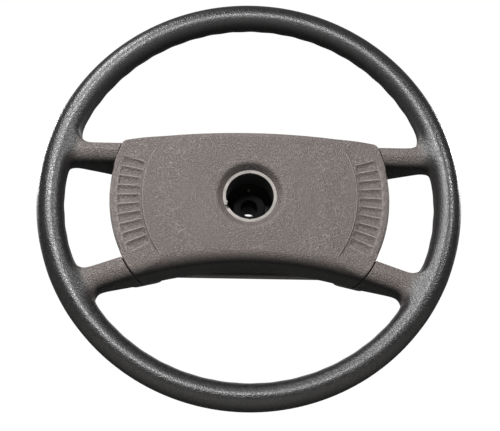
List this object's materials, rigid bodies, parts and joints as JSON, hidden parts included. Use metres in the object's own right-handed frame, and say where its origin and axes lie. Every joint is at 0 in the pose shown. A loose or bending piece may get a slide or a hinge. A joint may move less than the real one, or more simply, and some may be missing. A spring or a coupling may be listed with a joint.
{
  "type": "car steering wheel",
  "caption": "Car steering wheel: soft moulded rim and spokes, wide padded horn pad with fluted thumb zones and an open badge hole, on a serrated hub.",
  "frame": {"origin": "on the shaft axis, at the rear mouth of the hub bore", "axes": "+Y along the shaft away from the driver, +X to the driver's right, +Z to the top of the wheel"},
  "size_m": [0.385, 0.096, 0.385],
  "materials": {
    "rim_foam": "moulded foam skin with a coarse leather grain, worn shiny",
    "pad_foam": "moulded foam skin with a fine leather grain, matt",
    "pale_plastic": "moulded, matt",
    "black_plastic": "moulded, matt",
    "brown_plastic": "phenolic moulding, satin",
    "dark_steel": "black stove enamel",
    "hub_steel": "dark phosphate coat on turned steel",
    "zinc_steel": "zinc plate, passivated",
    "spring_steel": "drawn wire, oiled",
    "brass": "tarnished"
  },
  "bodies": {
    "wheel": {"cancel_cam": "pale_plastic", "carrier_screws": "zinc_steel", "contact_bridge": "brass", "contact_insulator_left": "brown_plastic", "contact_insulator_right": "brown_plastic", "grip_moulding": "rim_foam", "guide_bush_lower_left": "black_plastic", "guide_bush_lower_right": "black_plastic", "guide_bush_upper_left": "black_plastic", "guide_bush_upper_right": "black_plastic", "horn_spring_lower_left": "spring_steel", "horn_spring_lower_right": "spring_steel", "horn_spring_upper_left": "spring_steel", "horn_spring_upper_right": "spring_steel", "hub_boss": "hub_steel", "rim_ring": "dark_steel", "slip_ring": "brass", "slip_ring_carrier": "black_plastic", "spoke_spider": "dark_steel", "terminal_stud": "brass"},
    "pad": {"horn_pad": "pad_foam", "badge_ring": "pale_plastic", "access_sleeve": "black_plastic", "pad_carrier": "zinc_steel", "shoulder_screws": "zinc_steel", "moving_contact_left": "brass", "moving_contact_right": "brass", "carrier_post_upper_left": "zinc_steel", "carrier_post_upper_right": "zinc_steel", "carrier_post_lower_left": "zinc_steel", "carrier_post_lower_right": "zinc_steel"}
  },
  "joints": [
    {"name": "horn_press", "type": "slide", "parent": "wheel", "child": "pad", "axis": [0, 1, 0], "range_m": [0, 0.002], "stiffness_N_per_m": 8000, "springref_m": -0.002, "deforming": ["horn_spring_upper_left", "horn_spring_upper_right", "horn_spring_lower_left", "horn_spring_lower_right"]}
  ]
}
